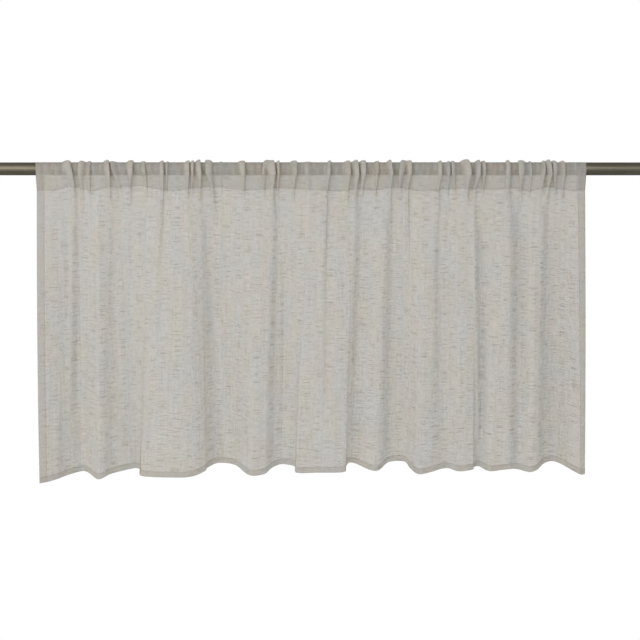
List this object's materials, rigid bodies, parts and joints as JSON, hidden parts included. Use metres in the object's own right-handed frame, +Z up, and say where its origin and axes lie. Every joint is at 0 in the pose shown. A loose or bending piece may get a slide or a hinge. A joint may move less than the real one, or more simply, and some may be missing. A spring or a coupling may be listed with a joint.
{
  "type": "cafe curtain on a rod",
  "caption": "Semi-sheer linen-look cafe curtain with a sewn rod pocket, gathered on a plain round bronze-finish rod and hanging in soft uneven folds to a wavy hem.",
  "frame": {"origin": "middle of the rod's axis, where brackets at its ends hold it up", "axes": "+X along the rod to the right as seen from the room, -Y towards the room, +Z up"},
  "size_m": [1.36, 0.0721, 0.639],
  "materials": {
    "rod_finish": "antique bronze, satin",
    "linen_cloth": "semi-sheer plain weave with slubs, matt"
  },
  "bodies": {
    "root": {"rod": "rod_finish", "curtain_panel": "linen_cloth"}
  },
  "joints": []
}
